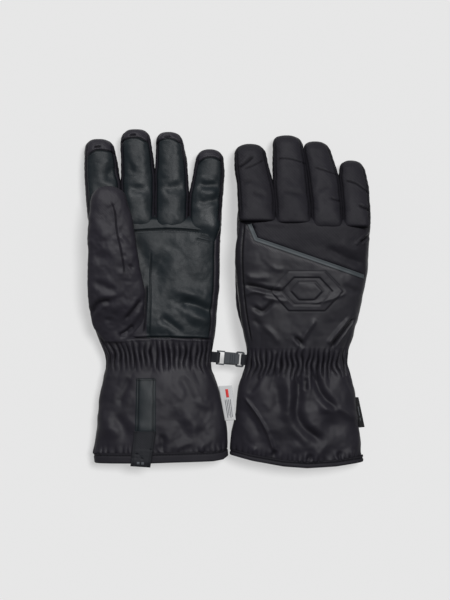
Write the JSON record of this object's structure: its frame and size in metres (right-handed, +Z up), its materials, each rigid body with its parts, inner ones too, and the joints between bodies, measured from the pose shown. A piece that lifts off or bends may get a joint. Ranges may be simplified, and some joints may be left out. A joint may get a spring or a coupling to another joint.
{
  "type": "pair of ski gloves",
  "caption": "Pair of insulated gauntlet ski gloves clipped together at the wrists, one palm up and one palm down, with jointed fingers, thumbs and wrists.",
  "frame": {"origin": "on the floor, under the middle of the pair as it lies", "axes": "+X from the left glove to the right glove, +Y from the hems to the fingertips, +Z up from the floor"},
  "size_m": [0.2559, 0.3034, 0.0567],
  "materials": {
    "softshell": "matt black nylon softshell",
    "nylon": "matt black woven nylon",
    "palm_leather": "fine-grained black synthetic leather, slight sheen",
    "piping": "dark grey reflective film",
    "fleece": "brushed black fleece",
    "cuff_lining": "smooth black lining cloth",
    "binding": "black folded binding tape",
    "webbing": "ribbed black webbing",
    "clip_plastic": "moulded black acetal",
    "ring_plastic": "moulded black acetal, polished by use",
    "white_label": "white woven satin",
    "black_label": "black woven satin"
  },
  "bodies": {
    "left_cuff": {"left_gauntlet_shell": "nylon", "left_gauntlet_lining": "cuff_lining", "left_hem_binding": "binding", "left_wrist_elastic": "nylon", "left_pull_strap": "palm_leather", "left_clip_strap": "webbing"},
    "left_hand": {"left_back_panel": "softshell", "left_knuckle_panel": "softshell", "left_reflective_piping": "piping", "left_palm_panel": "palm_leather", "left_hand_lining": "fleece", "left_thumb_gusset": "softshell"},
    "left_index_base": {"left_index_base_shell": "softshell", "left_index_base_lining": "fleece"},
    "left_index_tip": {"left_index_fingertip": "softshell"},
    "left_middle_base": {"left_middle_base_shell": "softshell", "left_middle_base_lining": "fleece"},
    "left_middle_tip": {"left_middle_fingertip": "softshell"},
    "left_ring_base": {"left_ring_base_shell": "softshell", "left_ring_base_lining": "fleece"},
    "left_ring_tip": {"left_ring_fingertip": "softshell"},
    "left_little_base": {"left_little_base_shell": "softshell", "left_little_base_lining": "fleece"},
    "left_little_tip": {"left_little_fingertip": "softshell"},
    "left_thumb": {"left_thumb_shell": "softshell", "left_thumb_lining": "fleece"},
    "left_pull_loop": {"left_pull_loop": "webbing"},
    "left_care_label": {"left_care_label": "white_label"},
    "right_cuff": {"right_gauntlet_shell": "nylon", "right_gauntlet_lining": "cuff_lining", "right_hem_binding": "binding", "right_wrist_elastic": "nylon", "right_pull_strap": "palm_leather", "right_clip_strap": "webbing"},
    "right_hand": {"right_back_panel": "softshell", "right_knuckle_panel": "softshell", "right_reflective_piping": "piping", "right_palm_panel": "palm_leather", "right_hand_lining": "fleece", "right_thumb_gusset": "softshell"},
    "right_index_base": {"right_index_base_shell": "softshell", "right_index_base_lining": "fleece"},
    "right_index_tip": {"right_index_fingertip": "softshell"},
    "right_middle_base": {"right_middle_base_shell": "softshell", "right_middle_base_lining": "fleece"},
    "right_middle_tip": {"right_middle_fingertip": "softshell"},
    "right_ring_base": {"right_ring_base_shell": "softshell", "right_ring_base_lining": "fleece"},
    "right_ring_tip": {"right_ring_fingertip": "softshell"},
    "right_little_base": {"right_little_base_shell": "softshell", "right_little_base_lining": "fleece"},
    "right_little_tip": {"right_little_fingertip": "softshell"},
    "right_thumb": {"right_thumb_shell": "softshell", "right_thumb_lining": "fleece"},
    "right_pull_loop": {"right_pull_loop": "webbing"},
    "right_side_label": {"right_side_label": "black_label"},
    "clip_hook": {"clip_hook": "clip_plastic"},
    "clip_gate": {"clip_gate": "clip_plastic"},
    "clip_ring": {"clip_ring": "ring_plastic"}
  },
  "joints": [
    {"name": "left_wrist_bend", "type": "hinge", "parent": "left_cuff", "child": "left_hand", "pos_m": [-0.06155, -0.05713, 0.0186], "axis": [1, 0, 0], "range_deg": [-30, 30], "stiffness_Nm_per_rad": 1},
    {"name": "left_index_base_curl", "type": "hinge", "parent": "left_hand", "child": "left_index_base", "pos_m": [-0.11002, 0.06901, 0.0348], "axis": [1, 0, 0], "range_deg": [0, 18], "stiffness_Nm_per_rad": 0.5},
    {"name": "left_index_tip_curl", "type": "hinge", "parent": "left_index_base", "child": "left_index_tip", "pos_m": [-0.11209, 0.10367, 0.02727], "axis": [1, 0, 0], "range_deg": [0, 80], "stiffness_Nm_per_rad": 0.3},
    {"name": "left_middle_base_curl", "type": "hinge", "parent": "left_hand", "child": "left_middle_base", "pos_m": [-0.07922, 0.0672, 0.0348], "axis": [1, 0, 0], "range_deg": [0, 75], "stiffness_Nm_per_rad": 0.5},
    {"name": "left_middle_tip_curl", "type": "hinge", "parent": "left_middle_base", "child": "left_middle_tip", "pos_m": [-0.08032, 0.10615, 0.02727], "axis": [1, 0, 0], "range_deg": [0, 75], "stiffness_Nm_per_rad": 0.3},
    {"name": "left_ring_base_curl", "type": "hinge", "parent": "left_hand", "child": "left_ring_base", "pos_m": [-0.04852, 0.0654, 0.0348], "axis": [1, 0, 0], "range_deg": [0, 75], "stiffness_Nm_per_rad": 0.5},
    {"name": "left_ring_tip_curl", "type": "hinge", "parent": "left_ring_base", "child": "left_ring_tip", "pos_m": [-0.04976, 0.10449, 0.02727], "axis": [1, 0, 0], "range_deg": [0, 75], "stiffness_Nm_per_rad": 0.3},
    {"name": "left_little_base_curl", "type": "hinge", "parent": "left_hand", "child": "left_little_base", "pos_m": [-0.01902, 0.06367, 0.0348], "axis": [1, 0, 0], "range_deg": [0, 75], "stiffness_Nm_per_rad": 0.5},
    {"name": "left_little_tip_curl", "type": "hinge", "parent": "left_little_base", "child": "left_little_tip", "pos_m": [-0.01782, 0.09665, 0.02577], "axis": [1, 0, 0], "range_deg": [0, 75], "stiffness_Nm_per_rad": 0.3},
    {"name": "left_thumb_lift", "type": "hinge", "parent": "left_hand", "child": "left_thumb", "pos_m": [-0.09962, 0.01286, 0.0536], "axis": [1, 0, 0], "range_deg": [0, 50], "stiffness_Nm_per_rad": 0.5},
    {"name": "left_pull_loop_flap", "type": "hinge", "parent": "left_cuff", "child": "left_pull_loop", "pos_m": [-0.07242, -0.11943, 0.03934], "axis": [-1, 0, 0], "range_deg": [0, 120], "stiffness_Nm_per_rad": 0.05},
    {"name": "left_care_label_flap", "type": "hinge", "parent": "left_cuff", "child": "left_care_label", "pos_m": [-0.00692, -0.0933, 0.0258], "axis": [0.1095, -0.9925, 0.0534], "range_deg": [0, 75], "stiffness_Nm_per_rad": 0.02},
    {"name": "right_wrist_bend", "type": "hinge", "parent": "right_cuff", "child": "right_hand", "pos_m": [0.06228, -0.05713, 0.028], "axis": [-1, 0, 0], "range_deg": [-30, 30], "stiffness_Nm_per_rad": 1},
    {"name": "right_index_base_curl", "type": "hinge", "parent": "right_hand", "child": "right_index_base", "pos_m": [0.02678, 0.06888, 0.0244], "axis": [-1, 0, 0], "range_deg": [0, 5], "stiffness_Nm_per_rad": 0.5},
    {"name": "right_index_tip_curl", "type": "hinge", "parent": "right_index_base", "child": "right_index_tip", "pos_m": [0.02402, 0.10153, 0.01511], "axis": [-1, 0, 0], "range_deg": [0, 70], "stiffness_Nm_per_rad": 0.3},
    {"name": "right_middle_base_curl", "type": "hinge", "parent": "right_hand", "child": "right_middle_base", "pos_m": [0.05888, 0.06698, 0.02421], "axis": [-1, 0, 0], "range_deg": [0, 75], "stiffness_Nm_per_rad": 0.5},
    {"name": "right_middle_tip_curl", "type": "hinge", "parent": "right_middle_base", "child": "right_middle_tip", "pos_m": [0.05681, 0.10419, 0.01511], "axis": [-1, 0, 0], "range_deg": [0, 75], "stiffness_Nm_per_rad": 0.3},
    {"name": "right_ring_base_curl", "type": "hinge", "parent": "right_hand", "child": "right_ring_base", "pos_m": [0.08938, 0.06517, 0.02403], "axis": [-1, 0, 0], "range_deg": [0, 75], "stiffness_Nm_per_rad": 0.5},
    {"name": "right_ring_tip_curl", "type": "hinge", "parent": "right_ring_base", "child": "right_ring_tip", "pos_m": [0.08588, 0.10045, 0.01511], "axis": [-1, 0, 0], "range_deg": [0, 75], "stiffness_Nm_per_rad": 0.3},
    {"name": "right_little_base_curl", "type": "hinge", "parent": "right_hand", "child": "right_little_base", "pos_m": [0.11578, 0.06361, 0.02388], "axis": [-1, 0, 0], "range_deg": [0, 60], "stiffness_Nm_per_rad": 0.5},
    {"name": "right_little_tip_curl", "type": "hinge", "parent": "right_little_base", "child": "right_little_tip", "pos_m": [0.11449, 0.09179, 0.01661], "axis": [-1, 0, 0], "range_deg": [0, 60], "stiffness_Nm_per_rad": 0.3},
    {"name": "right_thumb_lift", "type": "hinge", "parent": "right_hand", "child": "right_thumb", "pos_m": [0.03358, 0.01286, 0.00008], "axis": [-1, 0, 0], "range_deg": [0, 38], "stiffness_Nm_per_rad": 0.5},
    {"name": "right_pull_loop_flap", "type": "hinge", "parent": "right_cuff", "child": "right_pull_loop", "pos_m": [0.06078, -0.11943, 0.00181], "axis": [1, 0, 0], "range_deg": [0, 120], "stiffness_Nm_per_rad": 0.05},
    {"name": "right_side_label_flap", "type": "hinge", "parent": "right_cuff", "child": "right_side_label", "pos_m": [0.11761, -0.10593, 0.0242], "axis": [0.1736, -0.9848, 0], "range_deg": [-45, 45], "stiffness_Nm_per_rad": 0.02},
    {"name": "left_clip_swing", "type": "hinge", "parent": "left_cuff", "child": "clip_hook", "pos_m": [-0.01038, -0.05655, 0.023], "axis": [0.0872, 0.9962, 0], "range_deg": [-12, 20], "stiffness_Nm_per_rad": 1},
    {"name": "clip_gate_open", "type": "hinge", "parent": "clip_hook", "child": "clip_gate", "pos_m": [-0.00401, -0.0571, 0.02435], "axis": [-0.0872, -0.9962, 0], "range_deg": [0, 30]},
    {"name": "clip_ring_release", "type": "slide", "parent": "clip_hook", "child": "clip_ring", "axis": [0, 0, 1], "range_m": [0, 0.004]},
    {"name": "right_clip_swing", "type": "hinge", "parent": "clip_ring", "child": "right_cuff", "pos_m": [0.01233, -0.05853, 0.023], "axis": [0.0872, 0.9962, 0], "range_deg": [-18, 15], "stiffness_Nm_per_rad": 1}
  ],
  "couplings": [
    {"joint": "left_middle_tip_curl", "follows": "left_middle_base_curl", "ratio": 1},
    {"joint": "left_ring_tip_curl", "follows": "left_ring_base_curl", "ratio": 1},
    {"joint": "left_little_tip_curl", "follows": "left_little_base_curl", "ratio": 1},
    {"joint": "right_middle_tip_curl", "follows": "right_middle_base_curl", "ratio": 1},
    {"joint": "right_ring_tip_curl", "follows": "right_ring_base_curl", "ratio": 1},
    {"joint": "right_little_tip_curl", "follows": "right_little_base_curl", "ratio": 1},
    {"joint": "clip_gate_open", "follows": "clip_ring_release", "rad_per_m": 130.9}
  ]
}
